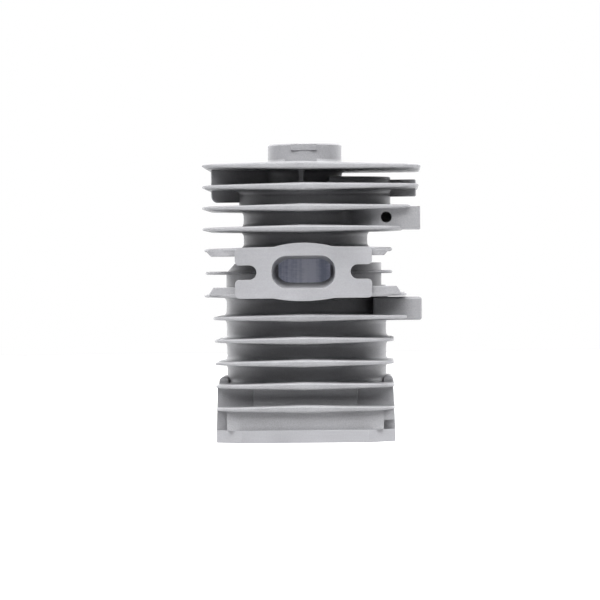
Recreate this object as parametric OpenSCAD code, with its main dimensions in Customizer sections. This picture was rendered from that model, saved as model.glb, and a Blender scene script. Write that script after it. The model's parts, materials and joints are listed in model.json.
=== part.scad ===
// Air-cooled two-stroke cylinder with its head in one casting: a plated bore, horizontal
// cooling fins, an exhaust flange on the front (-Y), an intake flange on the back (+Y) and a
// bolted base.  Millimetres.  +Z runs up the bore, and the origin is on the bore's axis at the
// base's underside.  Each region of the casting is a node of its own, and they meet face to face.

/* [Bore] */
// Diameter of the finished bore
bore_d = 50; // [48:0.5:50.5]
// Thickness of the hard plating on the bore wall
plating_t = 0.3; // [0.2:0.05:0.4]
// Outside radius of the plain barrel wall
wall_r = 29; // [28:0.5:30]
// Height of the head's squish face above the base
deck_z = 111; // [110:0.5:112]
// Height of the combustion chamber's roof above the squish face
chamber_h = 8; // [7:0.5:9]
// Radius of the combustion chamber at the squish face
chamber_r = 22; // [20:0.5:23]

/* [Fins] */
// Height of the fifth fin from the top
fin5_z = 88.6; // [88.2:0.1:89]
// Spacing of the four fins above the fifth
upper_pitch = 9.7; // [9.6:0.05:9.8]
// Spacing of the seven fins below the fifth
lower_pitch = 10.42; // [10.35:0.01:10.45]
// Thickness of a fin in the middle, at the die's parting plane
fin_mid_t = 3.5; // [3:0.1:4]
// Thickness of a fin at its left and right tips
fin_tip_t = 1.4; // [1.2:0.1:2]
// Distance of the fins' front edges from the bore's axis
fin_front = 42; // [41:0.5:43]
// Distance of the fins' rear edges from the bore's axis
fin_rear = 40; // [39:0.5:40]

/* [Head] */
// Diameter of the spark plug boss
plug_boss_d = 34.6; // [32:0.2:38]
// Height of the spark plug seat above the base
plug_seat_z = 138; // [137:0.5:140]
// Height of the head's top, under the plug boss
head_top_z = 122; // [121:0.5:123]
// Core diameter of the spark plug's thread
plug_thread_d = 12.6; // [12:0.1:13]

/* [Exhaust] */
// Width of the exhaust flange
exhaust_w = 62.6; // [60:0.2:64]
// Height of the exhaust port's centre above the base
exhaust_z = 78.3; // [78:0.1:78.6]
// Distance of the exhaust face from the bore's axis
exhaust_y = 46; // [45:0.5:48]
// Width of the two open stud slots
slot_w = 6.6; // [6:0.1:7]
// Distance of each slot's round end from the middle
slot_x = 24.75; // [24:0.25:25.5]

/* [Intake] */
// Height of the intake port's centre above the base
intake_z = 42; // [41:0.5:43]
// Width of the intake flange
intake_w = 56; // [52:1:60]
// Distance of the intake face from the bore's axis
intake_y = 46; // [45:0.5:48]
// Spacing of the two tapped holes in the intake flange
intake_hole_gap = 42; // [40:1:44]

/* [Base] */
// Width of the base flange
base_w = 82.4; // [80:0.4:84]
// Depth of the base flange, front to back
base_l = 80; // [78:1:80]
// Thickness of the base flange
base_t = 5.8; // [5:0.2:7]
// Spacing of the base bolts, left to right
bolt_gap_x = 63; // [61:1:64]
// Spacing of the base bolts, front to back
bolt_gap_y = 55; // [53:1:56]
// Diameter of the base bolt holes
bolt_d = 6.6; // [6:0.2:7]

/* [Hidden] */
FINS = 12;
$fn = 96;
cut = 0.5;
far = 80;

bore_r = bore_d / 2;
plated_r = bore_r + plating_t;
chamber_sphere = (chamber_r * chamber_r + chamber_h * chamber_h) / (2 * chamber_h);
neck_top_z = fin_z(3);
base_x = base_w / 2;
base_y = base_l / 2;
base_facet = [12.2, 10];
corner_steps = 8;

// Reach of each fin to the left and to the right of the axis, from the top fin down.
fin_left = [46.5, 46.5, 46.5, 46.5, 46, 46, 46, 42, 41.5, 41.5, base_x, base_x];
fin_right = [54, 53, 49, 45.5, 40.5, 40.5, 47, 47, 41, 41, base_x, base_x];
// The fin behind the exhaust flange is thin and stands back to clear the stud nuts.
clear_fin = 6;
clear_fin_t = 1.6;
clear_fin_front = 32;
fin_front_r = 10.5;

// Exhaust passage: wide at the flange, narrow at the bore.
flange_t = 6;
mouth_w = 29.2;
mouth_h = 15.2;
window_w = 25.6;
window_h = 11.6;
duct_x = 18;
duct_h = 19.2;
flange_low = 11.9;
flange_high = 11.4;
bump_x = 14;
bump_up = 2;
bump_down = 1.3;

// Intake passage.
intake_t = 6;
intake_h = 28;
intake_port_w = 24;
intake_port_h = 14;
intake_duct_x = 15;
intake_duct_h = 20;
intake_hole_d = 5;

// Transfer passages, one on each side, from the base up to a window in the bore.
case_reach = 37.4;
case_root = 12;
case_top = 78.2;
case_steps = 72;
passage_r = 34.6;
passage_y = 12;
passage_top = 73;
transfer_y = 8.5;
transfer_low = 59;
transfer_high = 70;

// Side bosses and their front faces.
upper_boss_x = 53.5;
upper_boss_low = 97.6;
upper_boss_y = [-37, -8];
upper_boss_root = 20;
upper_boss_slant = 14;
upper_hole_x = 38;
upper_hole_z = 103.1;
upper_hole_d = 5;
upper_hole_depth = 18;
lower_boss_x = [31.5, 54];
lower_boss_z = [55.7, 66.4];
lower_boss_y = [-26, -2];

// Webs and rib under the top fins.
web_t = 3;
left_web_x = 44;
left_web_low = 111.2;
right_web_x = [36, 52];
right_web_z = [113.2, 121.2];
rib_x = [-2, 0];
rib_front = 30;

// Head dome: a round body, with a rounded and taller block on the right of the plug boss.
head_low_z = 119.6;
head_step_x = 12;
head_r = 31;
head_side_r = 22;
head_side_x = 18;
head_chamfer = 3;

// Lips beside the exhaust flange.
lip_t = 2.6;
lip_bevel = 2.5;
upper_lip_low = 85.7;
lower_lip_high = 71.6;

// Walls between the lowest fins and the base.
column_x = 36;
column_y = 16;
column_top = 30;
column_skin = 1.9;
column_front_y = -30;
column_rear_y = 28;
corner_rear_y = -7;
panel_x = 24;
panel_y = 31.5;
skirt_x = 36;
skirt_y = -37.5;
filler_x = 40.6;
filler_y = -36;
filler_low = 10.2;
front_hole_z = 13;

function fin_name(n) = str("fin_", n < 10 ? "0" : "", n);
function fin_z(n) = n < 5 ? fin5_z + (5 - n) * upper_pitch : fin5_z - (n - 5) * lower_pitch;
function fin_rear_r(n) = n < 4 ? 6 : n < 8 ? 12 : 24;
function fin_front_y(n) = n == clear_fin ? clear_fin_front : fin_front;
function fin_middle_t(n) = n == clear_fin ? clear_fin_t : fin_mid_t;
function corner(x, y, r, from) = [
    for (i = [0:corner_steps])
        [x + r * cos(from + 90 * i / corner_steps), y + r * sin(from + 90 * i / corner_steps)]
];
// A rectangle with round corners, given by its four reaches from the axis.
function rounded_plan(left, right, front, rear, front_r, rear_r) = concat(
    corner(right - rear_r, rear - rear_r, rear_r, 0),
    corner(rear_r - left, rear - rear_r, rear_r, 90),
    corner(front_r - left, front_r - front, front_r, 180),
    corner(right - front_r, front_r - front, front_r, 270)
);

// A block given by its low and high corners.
module block(low, high) {
    translate(low) cube(high - low);
}

// An XZ outline, centred at height z, standing from y0 forward to y1 (y1 < y0).
module forward(y0, y1, z) {
    translate([0, y0, z]) rotate([90, 0, 0]) linear_extrude(y0 - y1) children();
}

module slot_outline(w, h) {
    square([w - h, h], center = true);
    for (side = [-1, 1]) translate([side * (w - h) / 2, 0]) circle(d = h);
}

// ---- Fins ----

module fin_section(n) {
    tip = fin_tip_t / 2;
    mid = fin_middle_t(n) / 2;
    left = fin_left[n - 1];
    right = fin_right[n - 1];
    drop = n == 1 ? mid - tip : 0;
    polygon([
        [-left, -tip], [0, -mid], [right, -tip - drop], [right, tip - drop], [0, mid], [-left, tip]
    ]);
}

module fin_blank(n) {
    left = fin_left[n - 1];
    right = fin_right[n - 1];
    plan = rounded_plan(left, right, fin_front_y(n), fin_rear, fin_front_r, fin_rear_r(n));
    intersection() {
        forward(far, -far, fin_z(n)) fin_section(n);
        translate([0, 0, fin_z(n) - fin_mid_t]) linear_extrude(2 * fin_mid_t) polygon(plan);
    }
}

module fin(n) {
    color("silver") difference() {
        fin_blank(n);
        cylinder(r = wall_r, h = neck_top_z);
        if (n < 4) head_envelope();
        if (n < 3) head_webs_envelope();
        if (n > 2 && n < 5) upper_boss_envelope();
        if (n > 4 && n < 8) exhaust_envelope();
        if (n > 6) transfer_envelope();
        if (n > 6 && n < 9) lower_boss_envelope();
        if (n > 8 && n < 11) intake_envelope();
        if (n > 10) base_walls_envelope();
    }
}

// ---- Barrel, plating and head ----

module exhaust_window() {
    forward(0, -far, exhaust_z) slot_outline(window_w, window_h);
}

module intake_window() {
    forward(far, 0, intake_z) slot_outline(intake_port_w, intake_port_h);
}

module transfer_windows() {
    block([-wall_r - cut, -transfer_y, transfer_low], [wall_r + cut, transfer_y, transfer_high]);
}

module ports() {
    exhaust_window();
    intake_window();
    transfer_windows();
}

module bore_plating() {
    color("lightslategray") difference() {
        cylinder(r = plated_r, h = deck_z);
        translate([0, 0, -cut]) cylinder(r = bore_r, h = deck_z + 2 * cut);
        ports();
    }
}

module barrel_wall() {
    color("gainsboro") difference() {
        translate([0, 0, base_t]) cylinder(r = wall_r, h = neck_top_z - base_t);
        cylinder(r = plated_r, h = deck_z);
        ports();
    }
}

module head_envelope() {
    low_h = head_low_z - neck_top_z;
    round_h = head_top_z - head_chamfer - neck_top_z;
    translate([0, 0, neck_top_z]) {
        cylinder(r = head_r, h = low_h);
        translate([head_side_x, 0, 0]) cylinder(r = head_side_r, h = low_h);
        intersection() {
            translate([head_side_x, 0, 0]) union() {
                cylinder(r = head_side_r, h = round_h);
                translate([0, 0, round_h])
                    cylinder(r1 = head_side_r, r2 = head_side_r - head_chamfer, h = head_chamfer);
            }
            block([head_step_x, -far, 0], [far, far, far]);
        }
    }
    cylinder(d = plug_boss_d, h = plug_seat_z);
}

module head_dome() {
    color("gainsboro") difference() {
        intersection() {
            head_envelope();
            block([-far, -far, neck_top_z], [far, far, head_top_z]);
        }
        cylinder(r = plated_r, h = deck_z);
        intersection() {
            translate([0, 0, deck_z + chamber_h - chamber_sphere]) sphere(r = chamber_sphere);
            translate([0, 0, deck_z - cut]) cylinder(r = chamber_r, h = chamber_h + 2 * cut);
        }
        cylinder(d = plug_thread_d, h = plug_seat_z);
    }
}

module spark_plug_boss() {
    pad_x = 6.2;
    pad_h = 3.2;
    pad_proud = 0.3;
    front = plug_boss_d / 2 + pad_proud;
    color("silver") difference() {
        union() {
            translate([0, 0, head_top_z]) cylinder(d = plug_boss_d, h = plug_seat_z - head_top_z);
            block([-pad_x, -front, plug_seat_z - pad_h], [pad_x, 0, plug_seat_z]);
        }
        cylinder(d = plug_thread_d, h = plug_seat_z + cut);
    }
}

// ---- Webs and rib under the top fins ----

module left_web_blank() {
    block([-left_web_x, -web_t, left_web_low], [0, 0, fin_z(1)]);
}

module right_web_blank() {
    block([right_web_x[0], -web_t, right_web_z[0]], [right_web_x[1], 0, right_web_z[1]]);
}

module rib_blank() {
    block([rib_x[0], -rib_front, fin_z(2)], [rib_x[1], 0, fin_z(1)]);
}

module head_webs_envelope() {
    left_web_blank();
    right_web_blank();
    rib_blank();
}

module left_head_web() {
    color("silver") difference() {
        left_web_blank();
        head_envelope();
        rib_blank();
    }
}

module right_head_web() {
    color("silver") difference() {
        right_web_blank();
        head_envelope();
    }
}

module centre_rib() {
    color("silver") difference() {
        rib_blank();
        head_envelope();
    }
}

// ---- Side bosses ----

// The boss leaves the neck on a slant, then runs square to its end face.
module upper_boss_envelope() {
    front = upper_boss_y[0];
    rear = upper_boss_y[1];
    translate([0, 0, upper_boss_low]) linear_extrude(neck_top_z - upper_boss_low)
        polygon([
            [upper_boss_root, rear], [upper_boss_root, front + upper_boss_slant],
            [upper_boss_root + upper_boss_slant, front], [upper_boss_x, front], [upper_boss_x, rear]
        ]);
}

module upper_side_boss() {
    color("silver") difference() {
        upper_boss_envelope();
        cylinder(r = wall_r, h = neck_top_z + cut);
        translate([upper_hole_x, 0, 0])
            forward(upper_boss_y[0] + upper_hole_depth, upper_boss_y[0] - cut, upper_hole_z)
                circle(d = upper_hole_d);
    }
}

module lower_boss_envelope() {
    block(
        [lower_boss_x[0], lower_boss_y[0], lower_boss_z[0]],
        [lower_boss_x[1], lower_boss_y[1], lower_boss_z[1]]
    );
}

module lower_side_boss() {
    color("silver") difference() {
        lower_boss_envelope();
        transfer_envelope();
    }
}

// ---- Exhaust ----

module exhaust_outline() {
    x = exhaust_w / 2;
    round_r = 2;
    up_r = (bump_x * bump_x + bump_up * bump_up) / (2 * bump_up);
    down_r = (bump_x * bump_x + bump_down * bump_down) / (2 * bump_down);
    polygon(rounded_plan(x, x, flange_low, flange_high, round_r, round_r));
    intersection() {
        translate([0, flange_high + bump_up - up_r]) circle(r = up_r);
        translate([-bump_x, 0]) square([2 * bump_x, far]);
    }
    intersection() {
        translate([0, down_r - flange_low - bump_down]) circle(r = down_r);
        translate([-bump_x, -far]) square([2 * bump_x, far]);
    }
}

module exhaust_passage() {
    hull() {
        forward(-bore_r, -bore_r - cut, exhaust_z) slot_outline(window_w, window_h);
        forward(-exhaust_y, -exhaust_y - cut, exhaust_z) slot_outline(mouth_w, mouth_h);
    }
}

module duct_envelope() {
    low = exhaust_z - duct_h / 2;
    high = exhaust_z + duct_h / 2;
    block([-duct_x, flange_t - exhaust_y, low], [duct_x, 0, high]);
}

module exhaust_envelope() {
    duct_envelope();
    forward(flange_t - exhaust_y, -exhaust_y, exhaust_z) exhaust_outline();
    upper_lips_envelope();
    lower_lips_envelope();
}

module exhaust_duct() {
    color("silver") difference() {
        duct_envelope();
        cylinder(r = wall_r, h = neck_top_z);
        exhaust_passage();
    }
}

module exhaust_flange() {
    slot_end = exhaust_w / 2 + cut;
    color("lightgray") difference() {
        forward(flange_t - exhaust_y, -exhaust_y, exhaust_z) exhaust_outline();
        exhaust_passage();
        for (side = [-1, 1]) {
            forward(0, -far, exhaust_z) translate([side * slot_x, 0]) circle(d = slot_w);
            forward(0, -far, exhaust_z)
                translate([side * (slot_x + slot_end) / 2, 0])
                    square([slot_end - slot_x, slot_w], center = true);
        }
    }
}

// A lip hangs from, or stands on, a fin beside the flange; its outer end is bevelled.
module lip(inner, outer, low, high, bevel_low) {
    end = outer - sign(outer) * lip_bevel;
    low_x = bevel_low ? end : outer;
    high_x = bevel_low ? outer : end;
    forward(lip_t - fin_front, -fin_front, 0)
        polygon([[inner, low], [low_x, low], [high_x, high], [inner, high]]);
}

module left_upper_lip() {
    color("silver") lip(-exhaust_w / 2, 1 - fin_left[4], upper_lip_low, fin5_z, true);
}

module right_upper_lip() {
    color("silver") lip(exhaust_w / 2, fin_right[4] - 1, upper_lip_low, fin5_z, true);
}

module left_lower_lip() {
    color("silver") lip(-exhaust_w / 2, 2 - fin_left[6], fin_z(7), lower_lip_high, false);
}

module right_lower_lip() {
    color("silver") lip(exhaust_w / 2, fin_right[6] - 2, fin_z(7), lower_lip_high, false);
}

module upper_lips_envelope() {
    left_upper_lip();
    right_upper_lip();
}

module lower_lips_envelope() {
    left_lower_lip();
    right_lower_lip();
}

// ---- Intake ----

module intake_envelope() {
    low = intake_z - intake_duct_h / 2;
    high = intake_z + intake_duct_h / 2;
    block([-intake_duct_x, 0, low], [intake_duct_x, intake_y - intake_t, high]);
}

module intake_duct() {
    color("silver") difference() {
        intake_envelope();
        cylinder(r = wall_r, h = neck_top_z);
        intake_window();
    }
}

module intake_flange() {
    x = intake_w / 2;
    corner_r = 6;
    color("lightgray") difference() {
        forward(intake_y, intake_y - intake_t, intake_z)
            polygon(rounded_plan(x, x, intake_h / 2, intake_h / 2, corner_r, corner_r));
        intake_window();
        for (side = [-1, 1])
            translate([side * intake_hole_gap / 2, 0, 0])
                forward(far, 0, intake_z) circle(d = intake_hole_d);
    }
}

// ---- Transfer cases ----

// The cases make the lower barrel oval: as deep as its wall, and wider from side to side.
module transfer_envelope() {
    oval = [
        for (i = [0:case_steps - 1])
            [case_reach * cos(360 * i / case_steps), wall_r * sin(360 * i / case_steps)]
    ];
    difference() {
        linear_extrude(case_top) polygon(oval);
        block([-case_root, -far, -cut], [case_root, far, case_top + cut]);
    }
}

module transfer_passages() {
    difference() {
        intersection() {
            translate([0, 0, -cut]) cylinder(r = passage_r, h = passage_top + cut);
            block([-far, -passage_y, -cut], [far, passage_y, passage_top]);
        }
        translate([0, 0, -2 * cut]) cylinder(r = wall_r, h = far);
    }
}

module transfer_case(side) {
    color("gainsboro") difference() {
        intersection() {
            transfer_envelope();
            block([min(0, side * far), -far, base_t], [max(0, side * far), far, far]);
        }
        cylinder(r = wall_r, h = neck_top_z);
        transfer_passages();
    }
}

module left_transfer_case() {
    transfer_case(-1);
}

module right_transfer_case() {
    transfer_case(1);
}

// ---- Base ----

module base_outline() {
    x = base_x;
    y = base_y;
    polygon([
        [x - base_facet[0], -y], [x, base_facet[1] - y], [x, y - base_facet[1]], [x - base_facet[0], y],
        [base_facet[0] - x, y], [-x, y - base_facet[1]], [-x, base_facet[1] - y], [base_facet[0] - x, -y]
    ]);
}

module base_flange() {
    color("silver") difference() {
        linear_extrude(base_t) base_outline();
        translate([0, 0, -cut]) cylinder(r = plated_r, h = base_t + 2 * cut);
        transfer_passages();
        for (sx = [-1, 1], sy = [-1, 1])
            translate([sx * bolt_gap_x / 2, sy * bolt_gap_y / 2, -cut])
                cylinder(d = bolt_d, h = base_t + 2 * cut);
    }
}

// Solid from the front wall back to the transfer case, then a thin skin towards the rear corner.
module column_blank(side) {
    skin_x = base_x - column_skin;
    block(
        [min(side * column_x, side * base_x), column_front_y, base_t],
        [max(side * column_x, side * base_x), column_y, column_top]
    );
    block(
        [min(side * panel_x, side * base_x), column_front_y, base_t],
        [max(side * panel_x, side * base_x), corner_rear_y, fin_z(11)]
    );
    block(
        [min(side * skin_x, side * base_x), column_y, base_t],
        [max(side * skin_x, side * base_x), column_rear_y, fin_z(11)]
    );
}

// The two front bolt holes of the base run on upwards, blind, into the walls above it.
module front_bolt_holes() {
    for (side = [-1, 1])
        translate([side * bolt_gap_x / 2, -bolt_gap_y / 2, 0]) cylinder(d = bolt_d, h = front_hole_z);
}

module base_column(side) {
    color("silver") difference() {
        column_blank(side);
        transfer_envelope();
        front_bolt_holes();
    }
}

module left_base_column() {
    base_column(-1);
}

module right_base_column() {
    base_column(1);
}

module front_panel_blank() {
    block([-panel_x, column_front_y, base_t], [panel_x, 0, fin_z(12)]);
    block([-skirt_x, skirt_y, base_t], [skirt_x, column_front_y, fin_z(12)]);
    block([skirt_x, filler_y, filler_low], [filler_x, column_front_y, fin_z(12)]);
}

module lower_panel_blank() {
    block([-panel_x, -panel_y, fin_z(12)], [panel_x, 0, fin_z(11)]);
}

module base_walls_envelope() {
    column_blank(-1);
    column_blank(1);
    front_panel_blank();
    lower_panel_blank();
}

module base_front_panel() {
    color("silver") difference() {
        front_panel_blank();
        cylinder(r = wall_r, h = neck_top_z);
        transfer_envelope();
        front_bolt_holes();
    }
}

module lower_front_panel() {
    color("silver") difference() {
        lower_panel_blank();
        cylinder(r = wall_r, h = neck_top_z);
        transfer_envelope();
    }
}

bore_plating();
barrel_wall();
head_dome();
spark_plug_boss();
left_head_web();
right_head_web();
centre_rib();
upper_side_boss();
lower_side_boss();
exhaust_duct();
exhaust_flange();
intake_duct();
intake_flange();
left_transfer_case();
right_transfer_case();
left_base_column();
right_base_column();
base_flange();
base_front_panel();
lower_front_panel();
left_upper_lip();
right_upper_lip();
left_lower_lip();
right_lower_lip();
for (n = [1:FINS]) fin(n);
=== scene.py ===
"""Looks of an air-cooled two-stroke engine cylinder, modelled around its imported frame."""

import json
import math

import bmesh
import bpy
from bpy.props import FloatProperty, FloatVectorProperty, PointerProperty
from mathutils import Matrix, Vector


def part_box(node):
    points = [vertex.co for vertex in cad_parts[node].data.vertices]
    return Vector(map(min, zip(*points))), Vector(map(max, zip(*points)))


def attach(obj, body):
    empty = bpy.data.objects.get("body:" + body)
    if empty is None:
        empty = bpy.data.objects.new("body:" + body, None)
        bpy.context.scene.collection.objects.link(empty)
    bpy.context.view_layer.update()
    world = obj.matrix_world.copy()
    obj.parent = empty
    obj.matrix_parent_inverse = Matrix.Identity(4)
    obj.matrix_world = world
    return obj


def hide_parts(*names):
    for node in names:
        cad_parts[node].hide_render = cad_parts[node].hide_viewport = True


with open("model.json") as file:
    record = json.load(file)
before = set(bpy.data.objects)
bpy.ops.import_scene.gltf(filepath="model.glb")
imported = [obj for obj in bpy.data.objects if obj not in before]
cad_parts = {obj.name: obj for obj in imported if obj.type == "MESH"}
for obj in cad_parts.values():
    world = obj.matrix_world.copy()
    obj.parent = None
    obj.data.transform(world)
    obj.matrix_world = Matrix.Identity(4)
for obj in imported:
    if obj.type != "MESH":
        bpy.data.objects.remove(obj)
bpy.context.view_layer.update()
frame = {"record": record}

bl_info = {
    "name": "Engine Cylinder Looks",
    "version": (1, 0, 0),
    "blender": (4, 5, 0),
    "location": "View3D > Sidebar > Engine Cylinder",
    "description": "Models the castings, machined faces and plated bore of an engine cylinder",
    "category": "Object",
}

MM = 0.001
MOUNTS = {mount["name"]: mount for mount in frame["record"]["mounts"]}
BORE_R = MOUNTS["cylinder_bore"]["dims"]["r_mm"] * MM
PLUG_R = MOUNTS["spark_plug_thread"]["dims"]["r_mm"] * MM
FIN_COUNT = 12
FINS = [f"fin_{number:02d}" for number in range(1, FIN_COUNT + 1)]
BACK = 0.2  # far enough to pass right through the part
NEAR = 0.01 * MM  # places closer than this count as one place
LAP = 0.1 * MM  # how far a piece reaches into the wall that it stands on


def node_size(node):
    """The size of a node's box along X, Y and Z."""
    low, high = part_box(node)
    return high - low


WALL_R = node_size("barrel_wall").x / 2
PLATED_R = node_size("bore_plating").x / 2
DECK_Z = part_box("bore_plating")[1].z
CASE_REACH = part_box("right_transfer_case")[1].x
CASE_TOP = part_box("right_transfer_case")[1].z
HEAD_R = -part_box("head_dome")[0].x
HEAD_STEP_X = 12 * MM  # the head is taller to the right of here
PLUG_BOSS_R = node_size("spark_plug_boss").x / 2
BASE_T = node_size("base_flange").z
PORT_Z = MOUNTS["exhaust_face"]["pos_m"][2]
INTAKE_Z = MOUNTS["intake_bolts"]["pos_m"][2]


# ---- Settings ----


class CastingSettings(bpy.types.PropertyGroup):
    """Radii that the casting's edges and corners take"""

    rim_radius: FloatProperty(
        name="Fin rim radius",
        description="Rounding along the outer edge of a fin, in the middle",
        default=1.15 * MM, min=0.0002, max=0.0016, unit="LENGTH",
    )
    root_fillet: FloatProperty(
        name="Fin root fillet",
        description="Fillet between a fin and the wall that it stands on",
        default=2.1 * MM, min=0.0005, max=0.0025, unit="LENGTH",
    )
    edge_radius: FloatProperty(
        name="Edge radius",
        description="Rounding of the other cast edges",
        default=0.7 * MM, min=0.0002, max=0.001, unit="LENGTH",
    )
    milled_edge: FloatProperty(
        name="Milled edge",
        description="Rounding of the edges around machined faces",
        default=0.45 * MM, min=0.0001, max=0.0008, unit="LENGTH",
    )
    thread_pitch: FloatProperty(
        name="Plug thread pitch",
        description="Spacing of the spark plug's thread grooves",
        default=1.25 * MM, min=0.001, max=0.0015, unit="LENGTH",
    )


class FinishSettings(bpy.types.PropertyGroup):
    """Light and dark tones of the three finishes"""

    cast_light: FloatVectorProperty(
        name="Cast light", description="Light grains of the blasted casting",
        default=(0.33, 0.33, 0.345), subtype="COLOR", min=0.0, max=1.0,
    )
    cast_dark: FloatVectorProperty(
        name="Cast dark", description="Dark grains of the blasted casting",
        default=(0.255, 0.255, 0.265), subtype="COLOR", min=0.0, max=1.0,
    )
    milled_light: FloatVectorProperty(
        name="Milled light", description="Light tone of the machined faces",
        default=(0.36, 0.36, 0.38), subtype="COLOR", min=0.0, max=1.0,
    )
    milled_dark: FloatVectorProperty(
        name="Milled dark", description="Dark tone of the machined faces",
        default=(0.305, 0.305, 0.32), subtype="COLOR", min=0.0, max=1.0,
    )
    bore_light: FloatVectorProperty(
        name="Bore light", description="Light tone of the honed plating",
        default=(0.80, 0.80, 0.85), subtype="COLOR", min=0.0, max=1.0,
    )
    bore_dark: FloatVectorProperty(
        name="Bore dark", description="Dark tone of the honed plating",
        default=(0.42, 0.44, 0.51), subtype="COLOR", min=0.0, max=1.0,
    )


class StageSettings(bpy.types.PropertyGroup):
    """Camera and lights"""

    distance: FloatProperty(
        name="Camera distance", description="From the camera to the bore's axis",
        default=1.55, min=0.5, max=3.0, unit="LENGTH",
    )
    lens: FloatProperty(
        name="Focal length", description="Focal length of the camera, in millimetres",
        default=198.0, min=50.0, max=400.0,
    )
    yaw: FloatProperty(
        name="Camera azimuth", description="Turn of the camera to the object's right",
        default=math.radians(1.5), subtype="ANGLE",
    )
    pitch: FloatProperty(
        name="Camera pitch", description="Downward tilt of the camera",
        default=math.radians(0.486), subtype="ANGLE",
    )
    roll: FloatProperty(
        name="Camera roll", description="Roll of the camera about its own axis",
        default=math.radians(-0.6), subtype="ANGLE",
    )
    aim_height: FloatProperty(
        name="Aim height", description="Height of the point in the middle of the frame",
        default=0.0652, unit="LENGTH",
    )
    aim_side: FloatProperty(
        name="Aim offset", description="How far the aim lies to the right of the bore's axis",
        default=-0.0029, unit="LENGTH",
    )
    floor_size: FloatProperty(
        name="Floor size", description="Side of the square floor",
        default=6.0, min=1.0, max=20.0, unit="LENGTH",
    )
    bore_power: FloatProperty(
        name="Bore light", description="Power of the small light under the bore, in watts",
        default=0.085, min=0.0, max=10.0,
    )
    room_level: FloatProperty(
        name="Room level", description="Brightness of the studio beside, above and behind",
        default=6.0, min=0.0, max=12.0,
    )
    front_level: FloatProperty(
        name="Front level", description="Brightness of the studio around the camera",
        default=0.1, min=0.0, max=3.0,
    )


# ---- Modelling helpers ----


def deselect_all():
    """Leaves edit mode and clears the selection, which every operator would act on."""
    if bpy.context.mode != "OBJECT":
        bpy.ops.object.mode_set(mode="OBJECT")
    bpy.ops.object.select_all(action="DESELECT")


def activate(piece):
    """Makes a piece the only selected object and the active one."""
    deselect_all()
    piece.select_set(True)
    bpy.context.view_layer.objects.active = piece


def settle(piece):
    """Puts the object at the origin, unturned and unscaled, with its place in its mesh."""
    activate(piece)
    bpy.ops.object.transform_apply(location=True, rotation=True, scale=True)
    return piece


def block(name, low, high):
    """A box between two corners."""
    low, high = Vector(low), Vector(high)
    deselect_all()
    bpy.ops.mesh.primitive_cube_add(size=1, location=(low + high) / 2, scale=high - low)
    piece = bpy.context.object
    piece.name = name
    return settle(piece)


def rod(name, radius, start, end, sides=128):
    """A round bar between two points."""
    start, end = Vector(start), Vector(end)
    along = end - start
    deselect_all()
    bpy.ops.mesh.primitive_cylinder_add(
        vertices=sides, radius=radius, depth=along.length, location=(start + end) / 2,
        rotation=along.to_track_quat("Z", "Y").to_euler(),
    )
    piece = bpy.context.object
    piece.name = name
    return settle(piece)


def loop_of_points(name, points, fill):
    """A ring of points, as one flat face or as an open loop."""
    deselect_all()
    bpy.ops.mesh.primitive_circle_add(vertices=len(points), radius=MM, fill_type=fill)
    piece = bpy.context.object
    piece.name = name
    for vertex, point in zip(piece.data.vertices, points):
        vertex.co = point
    return piece


def prism(name, points, push):
    """An outline pushed along a vector."""
    piece = loop_of_points(name, points, "NGON")
    activate(piece)
    bpy.ops.object.mode_set(mode="EDIT")
    bpy.ops.mesh.select_all(action="SELECT")
    bpy.ops.mesh.extrude_region_move(TRANSFORM_OT_translate={"value": push})
    bpy.ops.mesh.select_all(action="SELECT")
    bpy.ops.mesh.normals_make_consistent(inside=False)
    bpy.ops.object.mode_set(mode="OBJECT")
    return piece


def turning(name, outline, steps=128):
    """A solid of revolution about the bore's axis, from a closed outline of (radius, height)."""
    piece = loop_of_points(name, [(r, 0, z) for r, z in outline], "NOTHING")
    activate(piece)
    bpy.ops.object.mode_set(mode="EDIT")
    bpy.ops.mesh.select_all(action="SELECT")
    bpy.ops.mesh.spin(steps=steps, angle=math.tau, center=(0, 0, 0), axis=(0, 0, 1))
    bpy.ops.mesh.select_all(action="SELECT")
    bpy.ops.mesh.remove_doubles(threshold=0.002 * MM)
    bpy.ops.mesh.normals_make_consistent(inside=False)
    bpy.ops.object.mode_set(mode="OBJECT")
    return piece


def pick(piece, kind, test):
    """Enters edit mode with the vertices, edges or faces that pass the test selected."""
    activate(piece)
    bpy.ops.object.mode_set(mode="EDIT")
    bpy.ops.mesh.select_mode(type=kind)
    bpy.ops.mesh.select_all(action="DESELECT")
    shape = bmesh.from_edit_mesh(piece.data)
    items = {"VERT": shape.verts, "EDGE": shape.edges, "FACE": shape.faces}[kind]
    found = [item for item in items if test(item)]
    for item in found:
        item.select_set(True)
    bmesh.update_edit_mesh(piece.data)
    if not found:
        raise RuntimeError(f"nothing to shape on {piece.name}")


def round_picked(radius, segments):
    """Rounds the edges that pick has selected, then leaves edit mode."""
    bpy.ops.mesh.bevel(
        offset=radius, offset_type="OFFSET", segments=segments, affect="EDGES", clamp_overlap=False
    )
    bpy.ops.object.mode_set(mode="OBJECT")


def combine(piece, tool, operation):
    """Cuts, adds or keeps what is common with a tool shape, which is used up."""
    activate(piece)
    bpy.ops.object.modifier_add(type="BOOLEAN")
    modifier = piece.modifiers[-1]
    modifier.operation = operation
    modifier.solver = "EXACT"
    modifier.object = tool
    bpy.ops.object.modifier_apply(modifier=modifier.name)
    bpy.data.objects.remove(tool, do_unlink=True)
    if not piece.data.polygons:
        raise RuntimeError(f"{piece.name} has nothing left after a cut")
    return piece


def cut(piece, tool):
    return combine(piece, tool, "DIFFERENCE")


def join(piece, tool):
    return combine(piece, tool, "UNION")


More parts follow.
